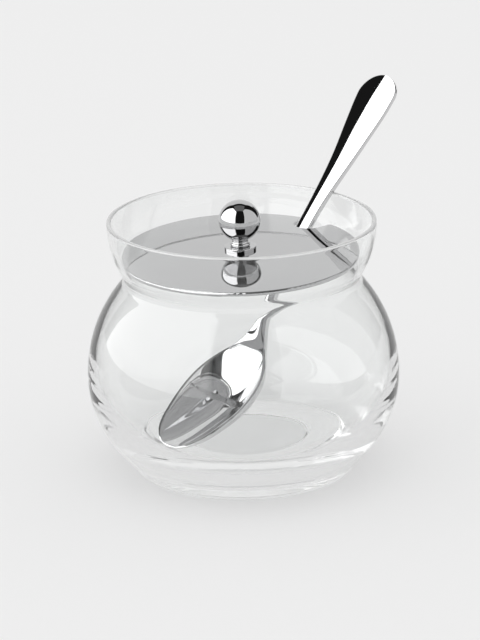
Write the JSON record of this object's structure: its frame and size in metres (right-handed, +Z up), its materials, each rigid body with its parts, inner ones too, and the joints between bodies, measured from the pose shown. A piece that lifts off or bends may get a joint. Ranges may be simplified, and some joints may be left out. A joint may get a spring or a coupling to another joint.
{
  "type": "jam pot",
  "caption": "Glass jam pot with a round belly and flared collar, a notched steel lid with a ball knob, and a long spoon that stands through the notch.",
  "frame": {"origin": "middle of the foot, in the plane it stands on", "axes": "+Z up along the pot's axis; +X to the right and +Y away as the picture shows it; the spoon leans towards azimuth 47 degrees from +X to +Y"},
  "size_m": [0.1114, 0.1149, 0.1259],
  "materials": {
    "clear_glass": "clear, fire-polished",
    "polished_steel_lid": "mirror-polished stainless steel",
    "polished_steel_knob": "mirror-polished stainless steel",
    "plain_steel": "plain stainless steel",
    "polished_steel_spoon": "mirror-polished stainless steel"
  },
  "bodies": {
    "pot": {"glass_pot": "clear_glass"},
    "lid": {"lid_plate": "polished_steel_lid", "knob_collar": "polished_steel_knob", "knob_stem": "polished_steel_knob", "knob_ball": "polished_steel_knob", "fixing_washer": "plain_steel", "fixing_screw": "plain_steel"},
    "spoon": {"spoon": "polished_steel_spoon"}
  },
  "joints": [
    {"name": "lid_lift", "type": "slide", "parent": "pot", "child": "lid", "axis": [0, 0, 1], "range_m": [0, 0.075]},
    {"name": "spoon_slide", "type": "slide", "parent": "pot", "child": "spoon", "axis": [0.451, 0.4836, 0.7501], "range_m": [0, 0.03]}
  ]
}
